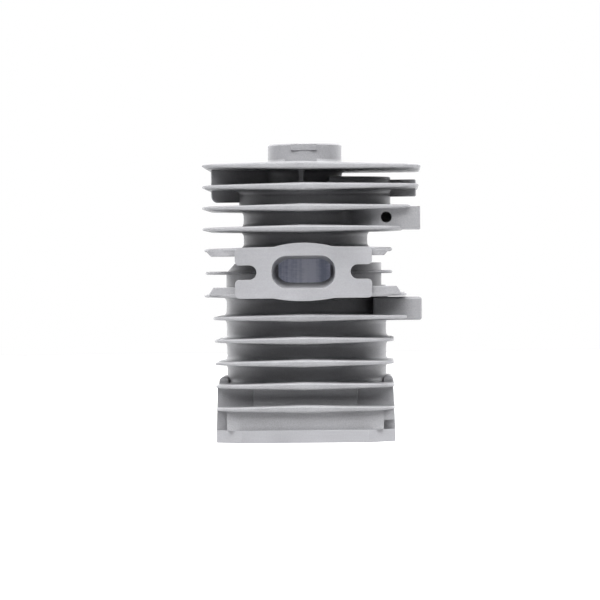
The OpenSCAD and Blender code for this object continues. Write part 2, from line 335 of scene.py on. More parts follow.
def soften(piece, radius, segments=3, angle=35):
    """Rounds every sharp edge."""
    activate(piece)
    bpy.ops.object.modifier_add(type="BEVEL")
    modifier = piece.modifiers[-1]
    modifier.width = radius
    modifier.segments = segments
    modifier.limit_method = "ANGLE"
    modifier.angle_limit = math.radians(angle)
    modifier.miter_outer = "MITER_ARC"
    bpy.ops.object.modifier_apply(modifier=modifier.name)
    return piece


def arc(centre_x, centre_y, radius, start, end, steps=8):
    """Points along an arc, in degrees."""
    angles = [math.radians(start + (end - start) * i / steps) for i in range(steps + 1)]
    return [(centre_x + radius * math.cos(a), centre_y + radius * math.sin(a)) for a in angles]


def round_box(left, right, low, high, radius):
    """The outline of a rectangle with round corners."""
    return (
        arc(right - radius, high - radius, radius, 0, 90)
        + arc(left + radius, high - radius, radius, 90, 180)
        + arc(left + radius, low + radius, radius, 180, 270)
        + arc(right - radius, low + radius, radius, 270, 360)
    )


def facing(points, y):
    """An outline stood up to face along Y."""
    return [(x, y, z) for x, z in points]


def lying(points, z):
    """An outline laid flat at a height."""
    return [(x, y, z) for x, y in points]


def finish(piece, slot, *nodes):
    """Shades a finished piece, gives it its material and puts it on the frame."""
    settle(piece)
    bpy.ops.object.shade_smooth_by_angle(angle=math.radians(40))
    bpy.ops.object.modifier_add(type="WEIGHTED_NORMAL")
    modifier = piece.modifiers[-1]
    modifier.keep_sharp = True
    bpy.ops.object.modifier_apply(modifier=modifier.name)
    piece.data.materials.clear()
    piece.data.materials.append(bpy.data.materials[SLOT_MATERIALS[slot]])
    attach(piece, "root")
    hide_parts(*nodes)
    return piece


# ---- Materials ----

SLOT_MATERIALS = {
    "cast_body": "blasted casting",
    "cast_fins": "blasted fins",
    "milled_faces": "milled aluminium",
    "bore_plating": "honed plating",
}


def new_material(name):
    """A material's node tree, its shader and its coordinates."""
    material = bpy.data.materials.new(name)
    material.use_nodes = True
    tree = material.node_tree
    return tree, tree.nodes["Principled BSDF"], tree.nodes.new("ShaderNodeTexCoord")


def noise(tree, coordinates, scale, detail, roughness=0.5, stretch=(1, 1, 1)):
    """A noise pattern on the piece's own coordinates."""
    mapping = tree.nodes.new("ShaderNodeMapping")
    mapping.inputs["Scale"].default_value = stretch
    texture = tree.nodes.new("ShaderNodeTexNoise")
    texture.inputs["Scale"].default_value = scale
    texture.inputs["Detail"].default_value = detail
    texture.inputs["Roughness"].default_value = roughness
    tree.links.new(coordinates.outputs["Object"], mapping.inputs["Vector"])
    tree.links.new(mapping.outputs["Vector"], texture.inputs["Vector"])
    return texture.outputs["Fac"]


def spread(tree, value, low, high, to_low, to_high):
    """Stretches a pattern's middle range over a new one."""
    node = tree.nodes.new("ShaderNodeMapRange")
    node.inputs["From Min"].default_value = low
    node.inputs["From Max"].default_value = high
    node.inputs["To Min"].default_value = to_low
    node.inputs["To Max"].default_value = to_high
    tree.links.new(value, node.inputs["Value"])
    return node.outputs["Result"]


def calculate(tree, operation, first, second=None):
    """A sum, product or other operation on one or two values."""
    node = tree.nodes.new("ShaderNodeMath")
    node.operation = operation
    tree.links.new(first, node.inputs[0])
    if second is not None:
        tree.links.new(second, node.inputs[1])
    return node.outputs[0]


def blend_colours(tree, factor, first, second):
    """Goes from one colour to another with a pattern; either colour may be a pattern too."""
    node = tree.nodes.new("ShaderNodeMix")
    node.data_type = "RGBA"
    tree.links.new(factor, node.inputs["Factor"])
    for socket, colour in (("A", first), ("B", second)):
        target = [s for s in node.inputs if s.name == socket and s.type == "RGBA"][0]
        if isinstance(colour, bpy.types.NodeSocket):
            tree.links.new(colour, target)
        else:
            target.default_value = (*colour, 1.0)
    return [s for s in node.outputs if s.type == "RGBA"][0]


def mix_values(tree, first, second, share):
    """A weighted sum of two patterns."""
    node = tree.nodes.new("ShaderNodeMix")
    node.inputs["Factor"].default_value = share
    tree.links.new(first, node.inputs["A"])
    tree.links.new(second, node.inputs["B"])
    return node.outputs["Result"]


def bump(tree, shader, height, strength, depth):
    """Raises the surface by a pattern."""
    node = tree.nodes.new("ShaderNodeBump")
    node.inputs["Strength"].default_value = strength
    node.inputs["Distance"].default_value = depth
    tree.links.new(height, node.inputs["Height"])
    tree.links.new(node.outputs["Normal"], shader.inputs["Normal"])


def blasted_metal(name, light, dark, shift):
    """Die-cast aluminium after shot blasting: fine grain, soft cloudy tone, small pits."""
    tree, shader, coordinates = new_material(name)
    grain = noise(tree, coordinates, 1900, 3, 0.6)
    clouds = noise(tree, coordinates, 70 + shift, 4, 0.55)
    pits = noise(tree, coordinates, 620 + shift, 2, 0.5)
    tone = mix_values(tree, grain, clouds, 0.45)
    base = blend_colours(tree, spread(tree, tone, 0.36, 0.64, 0, 1), dark, light)
    pitted = blend_colours(
        tree, spread(tree, pits, 0.66, 0.78, 0, 0.2), base, [0.6 * value for value in dark]
    )
    tree.links.new(pitted, shader.inputs["Base Color"])
    shader.inputs["Metallic"].default_value = 0.35
    tree.links.new(spread(tree, clouds, 0.3, 0.7, 0.5, 0.66), shader.inputs["Roughness"])
    bump(tree, shader, mix_values(tree, grain, pits, 0.35), 0.35, 0.12 * MM)


def milled_metal(name, light, dark):
    """A machined face after blasting: smoother, with a faint lay along X."""
    tree, shader, coordinates = new_material(name)
    lay = noise(tree, coordinates, 260, 3, 0.6, (0.25, 1.0, 3.0))
    grain = noise(tree, coordinates, 1600, 3, 0.6)
    clouds = noise(tree, coordinates, 55, 3, 0.5)
    tone = mix_values(tree, mix_values(tree, grain, lay, 0.35), clouds, 0.35)
    colour = blend_colours(tree, spread(tree, tone, 0.36, 0.64, 0, 1), dark, light)
    tree.links.new(colour, shader.inputs["Base Color"])
    shader.inputs["Metallic"].default_value = 0.4
    tree.links.new(spread(tree, clouds, 0.3, 0.7, 0.44, 0.56), shader.inputs["Roughness"])
    bump(tree, shader, mix_values(tree, grain, lay, 0.3), 0.22, 0.08 * MM)


def honed_metal(name, light, dark):
    """Hard plating, honed and then polished in streaks along the stroke; a lighter band down the
    middle of the front and the back is a painted reflection in its colour.
    """
    tree, shader, coordinates = new_material(name)
    lines = noise(tree, coordinates, 700, 3, 0.6, (1.0, 1.0, 0.03))
    bands = noise(tree, coordinates, 110, 2, 0.5, (1.0, 1.0, 0.02))
    hatch = noise(tree, coordinates, 420, 2, 0.5, (1.0, 1.0, 3.2))
    streaks = mix_values(tree, bands, lines, 0.4)
    place = tree.nodes.new("ShaderNodeSeparateXYZ")
    tree.links.new(coordinates.outputs["Object"], place.inputs["Vector"])
    off_middle = calculate(tree, "ABSOLUTE", place.outputs["X"])
    # painted reflection: the colour is made lighter near x = 0, fading out between 1.5 and 9 mm, to
    # stand for the sheen on the plating
    painted_reflection_band = spread(tree, off_middle, 1.5 * MM, 9 * MM, 0.12, -0.09)
    tone = calculate(tree, "ADD", mix_values(tree, streaks, hatch, 0.2), painted_reflection_band)
    colour = blend_colours(tree, spread(tree, tone, 0.38, 0.62, 0, 1), dark, light)
    tree.links.new(colour, shader.inputs["Base Color"])
    shader.inputs["Metallic"].default_value = 0.5
    tree.links.new(spread(tree, bands, 0.3, 0.7, 0.26, 0.38), shader.inputs["Roughness"])
    bump(tree, shader, mix_values(tree, lines, hatch, 0.4), 0.12, 0.05 * MM)


# ---- Shapes that several pieces share ----


def oval_bar(name, shrink, low, high):
    """The oval of the lower barrel, as deep as its wall and as wide as the transfer cases."""
    piece = rod(name, WALL_R - shrink, (0, 0, low), (0, 0, high))
    piece.scale.x = (CASE_REACH - shrink) / (WALL_R - shrink)
    return settle(piece)


def head_bar(name, shrink, low, high):
    """The head's outline: a round body drawn out to the right."""
    draw_in = 9 * MM
    side_r = HEAD_R - draw_in
    side_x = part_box("head_dome")[1].x - side_r
    tangent = math.degrees(math.acos((HEAD_R - side_r) / side_x))
    outline = (
        arc(0, 0, HEAD_R - shrink, tangent, 360 - tangent, 80)
        + arc(side_x, 0, side_r - shrink, -tangent, tangent, 40)
    )
    return prism(name, lying(outline, low), (0, 0, high - low))


def left_half_tool(height):
    """What stands above a height, to the left of the head's taller block."""
    return block("left_half", (-BACK, -BACK, height), (HEAD_STEP_X, BACK, BACK))


def port_tool():
    """The exhaust passage: wide at the face, narrow at the bore."""
    mouth_w, mouth_h, mouth_r = 29.2 * MM, 15.2 * MM, 6.9 * MM
    end_w, end_h, rise = 25.2 * MM, 10.2 * MM, 0.75 * MM
    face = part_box("exhaust_flange")[0].y
    start, inner = face - 0.6 * MM, -BORE_R + 4 * MM
    outline = round_box(
        -mouth_w / 2, mouth_w / 2, PORT_Z - mouth_h / 2, PORT_Z + mouth_h / 2, mouth_r
    )
    tool = prism("port_tool", facing(outline, start), (0, inner - start, 0))
    pick(tool, "FACE", lambda face: abs(face.calc_center_median().y - inner) < NEAR)
    bpy.ops.transform.resize(
        value=(end_w / mouth_w, 1, end_h / mouth_h), center_override=(0, inner, PORT_Z)
    )
    bpy.ops.transform.translate(value=(0, 0, rise))
    bpy.ops.object.mode_set(mode="OBJECT")
    return tool


def intake_tool():
    """The intake passage, a straight slot."""
    wide, high = 24 * MM, 14 * MM
    outline = (
        arc((wide - high) / 2, INTAKE_Z, high / 2, -90, 90, 20)
        + arc((high - wide) / 2, INTAKE_Z, high / 2, 90, 270, 20)
    )
    return prism("intake_tool", facing(outline, BORE_R - 4 * MM), (0, 40 * MM, 0))


def passage_tool(side):
    """One transfer passage, rising beside the bore."""
    outer, half, top = 34.6 * MM, 12 * MM, 73 * MM
    tool = rod("passage", outer, (0, 0, -5 * MM), (0, 0, top))
    span = block("span", (min(0, side * BACK), -half, -BACK), (max(0, side * BACK), half, BACK))
    combine(tool, span, "INTERSECT")
    return cut(tool, rod("wall", WALL_R, (0, 0, -BACK), (0, 0, BACK)))


def transfer_window_tool():
    """Both transfer windows, through the plating and the wall."""
    half, low, high = 8.5 * MM, 59 * MM, 70 * MM
    reach = WALL_R + MM
    return block("windows", (-reach, -half, low), (reach, half, high))


# ---- Pieces ----


class CYL_OT_materials(bpy.types.Operator):
    """Make the cast, milled and honed finishes"""

    bl_idname = "cylinder.materials"
    bl_label = "Materials"

    def execute(self, context):
        finish_set = context.scene.cylinder_finish
        light, dark = tuple(finish_set.cast_light), tuple(finish_set.cast_dark)
        blasted_metal(SLOT_MATERIALS["cast_body"], light, dark, 0)
        blasted_metal(SLOT_MATERIALS["cast_fins"], light, dark, 9)
        milled_metal(
            SLOT_MATERIALS["milled_faces"],
            tuple(finish_set.milled_light), tuple(finish_set.milled_dark),
        )
        honed_metal(
            SLOT_MATERIALS["bore_plating"],
            tuple(finish_set.bore_light), tuple(finish_set.bore_dark),
        )
        return {"FINISHED"}


class CYL_OT_fins(bpy.types.Operator):
    """Model the cooling fins, with their round rims and root fillets"""

    bl_idname = "cylinder.fins"
    bl_label = "Cooling fins"

    tip_thickness = 1.4 * MM
    front_gap_fins = (6,)
    rear_gap_fins = (9, 10)

    def core(self, number, shrink, low, high):
        """The wall that a fin stands on: the plug boss, the head, the barrel or the lower oval."""
        if number == 1:
            return rod("core", PLUG_BOSS_R - shrink, (0, 0, low), (0, 0, high))
        if number == 2:
            piece = head_bar("core", shrink, low, high)
            return piece if shrink else cut(piece, left_half_tool(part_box("fin_02")[1].z - 2 * MM))
        if number <= 6:
            return rod("core", WALL_R - shrink, (0, 0, low), (0, 0, high))
        return oval_bar("core", shrink, low, high)

    def plate(self, number, rim_radius):
        """A flat plate with round corners and rims, thinning from the middle to both tips."""
        low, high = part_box(FINS[number - 1])
        left_r = 8 * MM if number < 5 else 10.5 * MM
        right_r = 3 * MM if number == 3 else left_r
        rear_r = 6 * MM if number < 4 else 12 * MM if number < 8 else 24 * MM
        middle = (low.z + high.z) / 2
        thickness = high.z - low.z
        piece = block(FINS[number - 1] + "_cast", low, high)
        pick(piece, "FACE", lambda face: True)
        bpy.ops.mesh.bisect(plane_co=(0, 0, 0), plane_no=(1, 0, 0))
        for side, y, radius in (
            (-1, low.y, left_r), (1, low.y, right_r), (-1, high.y, rear_r), (1, high.y, rear_r)
        ):
            pick(piece, "EDGE", lambda edge: self.is_corner(edge, side, y))
            round_picked(radius, 10)
        pick(piece, "EDGE", self.is_outline)
        round_picked(min(rim_radius, 0.45 * thickness), 4)
        tip = min(1.0, self.tip_thickness / thickness)
        for vertex in piece.data.vertices:
            reach = high.x if vertex.co.x > 0 else low.x
            share = 1 - (1 - tip) * vertex.co.x / reach
            held = low.z + 0.1 * MM if number == 1 and vertex.co.x > 0 else middle
            vertex.co.z = held + (vertex.co.z - held) * share
        return piece

    def cut_groove(self, piece, low, high):
        """A narrow groove along the underside of the top fin, to the right of the plug boss."""
        start, front, back, depth = PLUG_BOSS_R + 1.5 * MM, -2.2 * MM, 0.2 * MM, 0.75 * MM
        cut(piece, block("groove", (start, front, low.z - MM), (high.x + MM, back, low.z + depth)))

    def cut_gap(self, piece, low, high, half, front, back):
        """Takes away the middle of a fin, where a port passes."""
        past = 5 * MM
        cut(piece, block("gap", (-half, front, low.z - past), (half, back, high.z + past)))

    @staticmethod
    def is_corner(edge, side, y):
        first, second = (vertex.co for vertex in edge.verts)
        upright = abs(first.x - second.x) < NEAR and abs(first.y - second.y) < NEAR
        return upright and abs(first.y - y) < NEAR and side * first.x > MM

    @staticmethod
    def is_outline(edge):
        if len(edge.link_faces) != 2:
            return False
        first, second = (abs(face.normal.z) for face in edge.link_faces)
        return abs(first - second) > 0.5

    @staticmethod
    def is_root(edge):
        """A concave edge, where the fin meets the wall."""
        level = abs(edge.verts[0].co.z - edge.verts[1].co.z) < 0.5 * MM
        return level and len(edge.link_faces) == 2 and edge.calc_face_angle_signed(0) < -0.5

    def execute(self, context):
        shape = context.scene.cylinder_casting
        for number in range(1, FIN_COUNT + 1):
            low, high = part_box(FINS[number - 1])
            piece = self.plate(number, shape.rim_radius)
            reach = shape.root_fillet + 0.4 * MM
            top = high.z + reach if number > 1 else high.z - 0.2 * MM
            join(piece, self.core(number, 0, low.z - reach, top))
            pick(piece, "EDGE", self.is_root)
            round_picked(shape.root_fillet, 4)
            cut(piece, self.core(number, 0.15 * MM, low.z - 2 * reach, high.z + 2 * reach))
            if number == 1:
                self.cut_groove(piece, low, high)
            if number in self.front_gap_fins:
                self.cut_gap(piece, low, high, 17 * MM, -BACK, -24 * MM)
            if number in self.rear_gap_fins:
                self.cut_gap(piece, low, high, 14 * MM, 24 * MM, BACK)
            finish(piece, "cast_fins", FINS[number - 1])
        return {"FINISHED"}


class CYL_OT_barrel(bpy.types.Operator):
    """Model the barrel wall, its plating and the transfer cases"""

    bl_idname = "cylinder.barrel"
    bl_label = "Barrel"

    half_middle = 12 * MM
    sink = 0.05 * MM  # keeps a wall just clear of the fins' own skin

    def windows(self, piece):
        """Opens the exhaust, intake and transfer windows."""
        cut(piece, port_tool())
        cut(piece, intake_tool())
        return cut(piece, transfer_window_tool())

    def lower_oval(self, name, left, right, slope_z, top_reach):
        """A slice of the lower barrel's oval, up to its sloping shoulder."""
        shoulder = CASE_TOP + 4.3 * MM
        piece = oval_bar(name, self.sink, BASE_T, slope_z)
        pick(piece, "FACE", lambda face: face.normal.z > 0.9)
        bpy.ops.mesh.extrude_region_move(
            TRANSFORM_OT_translate={"value": (0, 0, shoulder - slope_z)}
        )
        bpy.ops.transform.resize(
            value=(top_reach / CASE_REACH, 1, 1), center_override=(0, 0, shoulder)
        )
        bpy.ops.object.mode_set(mode="OBJECT")
        inside = block("slice", (left, -BACK, -BACK), (right, BACK, BACK))
        return combine(piece, inside, "INTERSECT")

    def case(self, name, side, slope_z, top_reach, upright):
        """One transfer case; an upright shoulder is cut off square at its reach."""
        near, far = sorted((side * self.half_middle, side * BACK))
        piece = self.lower_oval(name + "_cast", near, far, slope_z, top_reach)
        if upright:
            cut(piece, block("trim", (top_reach, -BACK, slope_z), (BACK, BACK, BACK)))
        cut(piece, passage_tool(side))
        cut(piece, rod("wall", WALL_R - LAP, (0, 0, -BACK), (0, 0, BACK)))
        return finish(piece, "cast_body", name)

    def execute(self, context):
        low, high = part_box("barrel_wall")
        wall_r = WALL_R - self.sink
        left_reach, right_slope_z, right_reach = 33.4 * MM, 72 * MM, 35.4 * MM
        wall = turning(
            "barrel_wall_cast",
            [(PLATED_R, low.z), (wall_r, low.z), (wall_r, high.z), (PLATED_R, high.z)],
        )
        half = self.half_middle + 0.02 * MM
        join(wall, self.lower_oval("middle", -half, half, CASE_TOP, left_reach))
        cut(wall, rod("bore", PLATED_R, (0, 0, 0), (0, 0, BACK)))
        finish(self.windows(wall), "cast_body", "barrel_wall")
        chamfer = 0.25 * MM
        plating = turning(
            "bore_plating_honed",
            [(BORE_R + chamfer, 0), (PLATED_R, 0), (PLATED_R, DECK_Z), (BORE_R, DECK_Z),
             (BORE_R, chamfer)],
        )
        finish(self.windows(plating), "bore_plating", "bore_plating")
        self.case("left_transfer_case", -1, CASE_TOP, left_reach, upright=False)
        self.case("right_transfer_case", 1, right_slope_z, right_reach, upright=True)
        return {"FINISHED"}


class CYL_OT_head(bpy.types.Operator):
    """Model the head's dome, the spark plug boss and the webs under the top fins"""

    bl_idname = "cylinder.head"
    bl_label = "Head"

    web_back = -14 * MM

    def dome(self):
        """The head's casting, hollowed by the domed chamber and the plug's hole."""
        low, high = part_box("head_dome")
        chamber_r, chamber_h = 22 * MM, 8 * MM
        sphere_r = (chamber_r**2 + chamber_h**2) / (2 * chamber_h)
        piece = head_bar("head_dome_cast", 0, low.z, high.z + 0.4 * MM)
        cut(piece, left_half_tool(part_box("fin_02")[1].z - 0.4 * MM))
        soften(piece, 1.5 * MM, 4, 60)
        cut(piece, rod("bore", PLATED_R, (0, 0, 0), (0, 0, DECK_Z)))
        deselect_all()
        bpy.ops.mesh.primitive_uv_sphere_add(
            segments=96, ring_count=64, radius=sphere_r,
            location=(0, 0, DECK_Z + chamber_h - sphere_r),
        )
        cut(piece, settle(bpy.context.object))
        cut(piece, rod("plug", PLUG_R + 0.3 * MM, (0, 0, DECK_Z), (0, 0, BACK)))
        return finish(piece, "cast_body", "head_dome")

    def plug_boss(self, pitch):
        """A turned boss with the plug's thread in it and a flat pad on its front."""
        low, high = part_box("spark_plug_boss")
        outer, inner, depth, chamfer = PLUG_BOSS_R, PLUG_R, 0.65 * MM, 0.6 * MM
        clear = outer - 0.05 * MM
        turns = int((high.z - low.z - 2 * chamfer) / pitch)
        foot, fin_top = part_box("fin_02")[1].z - MM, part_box("fin_01")[1].z
        outline = [(clear, foot), (clear, fin_top), (outer, fin_top),
                   (outer, high.z - chamfer), (outer - chamfer, high.z),
                   (inner + 1.3 * MM, high.z)]
        top = high.z - 1.1 * MM
        for turn in range(turns):
            groove = top - turn * pitch
            outline += [(inner, groove), (inner + depth, groove - pitch / 2)]
        outline += [(inner, foot)]
        piece = turning("spark_plug_boss_turned", outline)
        half, back = 6.2 * MM, -11 * MM
        pad = block("pad", (-half, low.y, high.z - 3.2 * MM), (half, back, high.z - LAP))
        join(piece, soften(pad, 0.3 * MM, 2))
        return finish(piece, "cast_body", "spark_plug_boss")

    def left_web(self, radius):
        """A web under the top fin, with its outer corners rounded."""
        low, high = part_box("left_head_web")
        low_r, high_r = 3 * MM, 1.5 * MM
        outline = (
            arc(low.x + low_r, low.z + low_r, low_r, 270, 180)
            + arc(low.x + high_r, high.z - high_r, high_r, 180, 90)
            + [(self.web_back, high.z), (self.web_back, low.z)]
        )
        piece = prism("left_head_web_cast", facing(outline, low.y), (0, high.y - low.y, 0))
        return finish(soften(piece, radius), "cast_body", "left_head_web")

    def right_web(self, radius):
        low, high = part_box("right_head_web")
        piece = block("right_head_web_cast", (34 * MM, low.y, low.z), high)
        return finish(soften(piece, radius), "cast_body", "right_head_web")

    def rib(self):
        """A narrow rib whose ends flare into the fins above and below."""
        low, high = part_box("centre_rib")
        front = low.y + 2 * MM
        middle, half, flare = (low.x + high.x) / 2, (high.x - low.x) / 2, 1.6 * MM
        bottom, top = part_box("fin_02")[1].z - 0.3 * MM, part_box("fin_01")[0].z + 0.3 * MM
        right = arc(middle + half + flare, bottom + flare, flare, 270, 180, 6)
        right += arc(middle + half + flare, top - flare, flare, 180, 90, 6)
        left = [(2 * middle - x, z) for x, z in reversed(right)]
        piece = prism(
            "centre_rib_cast", facing(right + left, front), (0, self.web_back - front, 0)
        )
        return finish(piece, "cast_body", "centre_rib")

    def execute(self, context):
        shape = context.scene.cylinder_casting
        self.dome()
        self.plug_boss(shape.thread_pitch)
        self.left_web(shape.edge_radius)
        self.right_web(shape.edge_radius)
        self.rib()
        return {"FINISHED"}


class CYL_OT_exhaust(bpy.types.Operator):
    """Model the exhaust flange with its open slots, the duct and the lips beside it"""

    bl_idname = "cylinder.exhaust"
    bl_label = "Exhaust"

    def flange_outline(self):
        """Half of the flange is drawn and mirrored: the slot, its mouth, then the raised middle."""
        low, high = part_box("exhaust_flange")
        side, corner, mouth, slot_r, slot_x = high.x, 2 * MM, 2 * MM, 3.3 * MM, 24.75 * MM
        bump_x, bump_up, bump_down = 14 * MM, 2 * MM, 1.3 * MM
        top, bottom = high.z - bump_up, low.z + bump_down
        up_r = (bump_x**2 + bump_up**2) / (2 * bump_up)
        down_r = (bump_x**2 + bump_down**2) / (2 * bump_down)
        up_angle = math.degrees(math.acos(bump_x / up_r))
        down_angle = math.degrees(math.acos(bump_x / down_r))
        right = arc(0, low.z + down_r, down_r, -90, -down_angle, 10)
        right += arc(side - corner, bottom + corner, corner, -90, 0, 4)
        right += arc(side - mouth, PORT_Z - slot_r - mouth, mouth, 0, 90, 5)
        right += arc(slot_x, PORT_Z, slot_r, -90, -270, 16)
        right += arc(side - mouth, PORT_Z + slot_r + mouth, mouth, -90, 0, 5)
        right += arc(side - corner, top - corner, corner, 0, 90, 4)
        right += arc(0, high.z - up_r, up_r, up_angle, 90, 10)
        left = [(-x, z) for x, z in reversed(right[1:-1])]
        return right + left

    def lip(self, name, slope_top):
        """A short wall with a slanted outer end."""
        low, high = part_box(name)
        near, outer = sorted((low.x, high.x), key=abs)
        slant = 2.6 * MM * (1 if outer > near else -1)
        top_x = outer - slant if slope_top else outer
        bottom_x = outer if slope_top else outer - slant
        outline = [(near, low.z), (bottom_x, low.z), (top_x, high.z), (near, high.z)]
        return prism(name + "_cast", facing(outline, low.y + 0.15 * MM), (0, high.y - low.y, 0))

    def execute(self, context):
        shape = context.scene.cylinder_casting
        low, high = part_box("exhaust_flange")
        flange = prism(
            "exhaust_flange_milled", facing(self.flange_outline(), low.y), (0, high.y - low.y, 0)
        )
        soften(cut(flange, port_tool()), shape.milled_edge)
        finish(flange, "milled_faces", "exhaust_flange")
        low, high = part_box("exhaust_duct")
        duct = block("exhaust_duct_cast", low - Vector((0, MM, 0)), (high.x, -18 * MM, high.z))
        cut(duct, rod("wall", WALL_R - LAP, (0, 0, 0), (0, 0, BACK)))
        soften(cut(duct, port_tool()), shape.edge_radius, 3, 60)
        finish(duct, "cast_body", "exhaust_duct")
        for name in ("left_upper_lip", "right_upper_lip", "left_lower_lip", "right_lower_lip"):
            lip = self.lip(name, "lower" in name)
            finish(soften(lip, 0.35 * MM), "cast_body", name)
        return {"FINISHED"}


class CYL_OT_intake(bpy.types.Operator):
    """Model the intake flange and its duct on the back"""

    bl_idname = "cylinder.intake"
    bl_label = "Intake"

    def execute(self, context):
        shape = context.scene.cylinder_casting
        low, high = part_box("intake_flange")
        hole = MOUNTS["intake_bolts"]["dims"]
        outline = round_box(low.x, high.x, low.z, high.z, 6 * MM)
        flange = prism("intake_flange_milled", facing(outline, low.y), (0, high.y - low.y, 0))
        cut(flange, intake_tool())
        for side in (-1, 1):
            x = side * hole["spacing_x_mm"] / 2 * MM
            start, end = (x, 0, INTAKE_Z), (x, BACK, INTAKE_Z)
            cut(flange, rod("hole", hole["hole_r_mm"] * MM, start, end, 48))
        finish(soften(flange, shape.milled_edge), "milled_faces", "intake_flange")
        low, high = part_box("intake_duct")
        duct = block("intake_duct_cast", (low.x, 18 * MM, low.z), high + Vector((0, MM, 0)))
        cut(duct, rod("wall", WALL_R - LAP, (0, 0, 0), (0, 0, BACK)))
        cut(duct, intake_tool())
        finish(soften(duct, 2 * shape.edge_radius, 4, 60), "cast_body", "intake_duct")
        return {"FINISHED"}


class CYL_OT_side_bosses(bpy.types.Operator):
    """Model the two bosses on the right-hand side"""

    bl_idname = "cylinder.side_bosses"
    bl_label = "Side bosses"

    def execute(self, context):
        low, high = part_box("upper_side_boss")
        start, crest = 12 * MM, 34 * MM
        swell_x, swell_y, swell_r = 18.33 * MM, -29.82 * MM, 6 * MM
        outline = (
            [(start, high.y)] + arc(swell_x, swell_y, swell_r, 121.6, 45, 10)
            + [(crest, low.y), (high.x, low.y), (high.x, high.y)]
        )
        upper = prism("upper_side_boss_cast", lying(outline, low.z), (0, 0, high.z - low.z))
        pick(upper, "EDGE", lambda edge: self.is_slant(edge, crest, low.y))
        round_picked(5 * MM, 10)
        cut(upper, rod("wall", WALL_R - LAP, (0, 0, 0), (0, 0, BACK)))
        hole = MOUNTS["upper_boss_hole"]
        x, y, z = hole["pos_m"]
        half = hole["dims"]["length_mm"] * MM / 2
        tapped = rod("hole", hole["dims"]["r_mm"] * MM, (x, low.y - MM, z), (x, y + half, z), 64)
        soften(cut(upper, tapped), 0.5 * MM, 3, 50)
        finish(upper, "cast_body", "upper_side_boss")
        low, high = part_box("lower_side_boss")
        lower = block("lower_side_boss_cast", low, high)
        soften(lower, 1.2 * MM, 4)
        finish(lower, "cast_body", "lower_side_boss")
        return {"FINISHED"}

    @staticmethod
    def is_slant(edge, x, y):
        return all(abs(v.co.x - x) < NEAR and abs(v.co.y - y) < NEAR for v in edge.verts)


class CYL_OT_base(bpy.types.Operator):
    """Model the base flange, the columns beside it and the panels above it"""

    bl_idname = "cylinder.base"
    bl_label = "Base"

    column_edge = 0.4 * MM
    sink = 0.5 * MM  # how far the columns and the panel's middle stand in the flange
    panel_back = -20 * MM

    def flange(self, radius):
        """A plate with slanted corners, open at the bore, the passages and the bolt holes."""
        low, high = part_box("base_flange")
        facet_x, facet_y = 12.2 * MM, 10 * MM
        right = [
            (high.x - facet_x, low.y), (high.x, low.y + facet_y), (high.x, high.y - facet_y),
            (high.x - facet_x, high.y),
        ]
        left = [(-x, y) for x, y in reversed(right)]
        piece = prism("base_flange_milled", lying(right + left, low.z), (0, 0, high.z - low.z))
        cut(piece, rod("bore", PLATED_R, (0, 0, -BACK), (0, 0, BACK)))
        cut(piece, passage_tool(-1))
        cut(piece, passage_tool(1))
        bolts = MOUNTS["base_bolts"]["dims"]
        for side_x in (-1, 1):
            for side_y in (-1, 1):
                x = side_x * bolts["spacing_x_mm"] / 2 * MM
                y = side_y * bolts["spacing_y_mm"] / 2 * MM
                cut(piece, rod("bolt", bolts["hole_r_mm"] * MM, (x, y, -BACK), (x, y, BACK), 48))
        return finish(soften(piece, radius), "milled_faces", "base_flange")

    def column(self, name, side):
        """A corner block, a root against the transfer case and a skin, all drafted inwards."""
        low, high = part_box(name)
        fin_low, fin_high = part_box("fin_11")
        wall_top = (fin_low.z + fin_high.z) / 2
        root_x, root_front, root_back, root_r = 36.7 * MM, low.y + 13 * MM, 16 * MM, 2.1 * MM
        skin, draft, bolt_top = 1.9 * MM, 0.017, 13 * MM
        inner, outer = sorted((low.x, high.x), key=abs)
        foot = low.z - self.sink

        def part(from_x, from_y, to_y, top):
            near, far = sorted((from_x, outer))
            return block(name + "_cast", (near, from_y, foot), (far, to_y, top))

        piece = part(side * root_x, root_front, root_back, high.z)
        pick(piece, "EDGE", lambda edge: all(v.co.z > high.z - LAP for v in edge.verts))
        round_picked(root_r, 6)
        join(piece, part(inner, low.y + 0.02 * MM, LAP - root_back, wall_top))
        join(piece, part(outer - side * skin, root_back - LAP, high.y, wall_top))
        for vertex in piece.data.vertices:
            vertex.co.x *= 1 - draft * (vertex.co.z - foot) / (wall_top - foot)
        bolts = MOUNTS["base_bolts"]["dims"]
        x, y = side * bolts["spacing_x_mm"] / 2 * MM, -bolts["spacing_y_mm"] / 2 * MM
        cut(piece, rod("bolt", bolts["hole_r_mm"] * MM, (x, y, 0), (x, y, bolt_top), 48))
        return finish(soften(piece, self.column_edge, 3, 50), "cast_body", name)

    def panels(self, radius):
        """The skirt with its middle and the filler at its right end, then the panel above."""
        low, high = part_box("base_front_panel")
        wall_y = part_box("left_base_column")[0].y
        middle_x, skirt_x = 24 * MM, -low.x
        filler_y, filler_z = low.y + 1.5 * MM, 10.2 * MM
        top = high.z - LAP
        lower = block("base_front_panel_cast", low, (skirt_x, wall_y, high.z))
        join(lower, block("middle", (-middle_x, wall_y - MM, low.z - self.sink),
                          (middle_x, self.panel_back, top)))
        join(lower, block("filler", (skirt_x - MM, filler_y, filler_z),
                          (high.x, wall_y + 2 * LAP, top)))
        cut(lower, oval_bar("oval", LAP, 0, BACK))
        finish(soften(lower, radius, 4), "cast_body", "base_front_panel")
        low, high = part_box("lower_front_panel")
        upper = block("lower_front_panel_cast", low, (high.x, self.panel_back, high.z))
        cut(upper, oval_bar("oval", LAP, 0, BACK))
        finish(soften(upper, radius, 4), "cast_body", "lower_front_panel")

    def execute(self, context):
        shape = context.scene.cylinder_casting
        self.flange(shape.edge_radius)
        self.column("left_base_column", -1)
        self.column("right_base_column", 1)
        self.panels(shape.edge_radius)
        return {"FINISHED"}


# ---- Stage ----


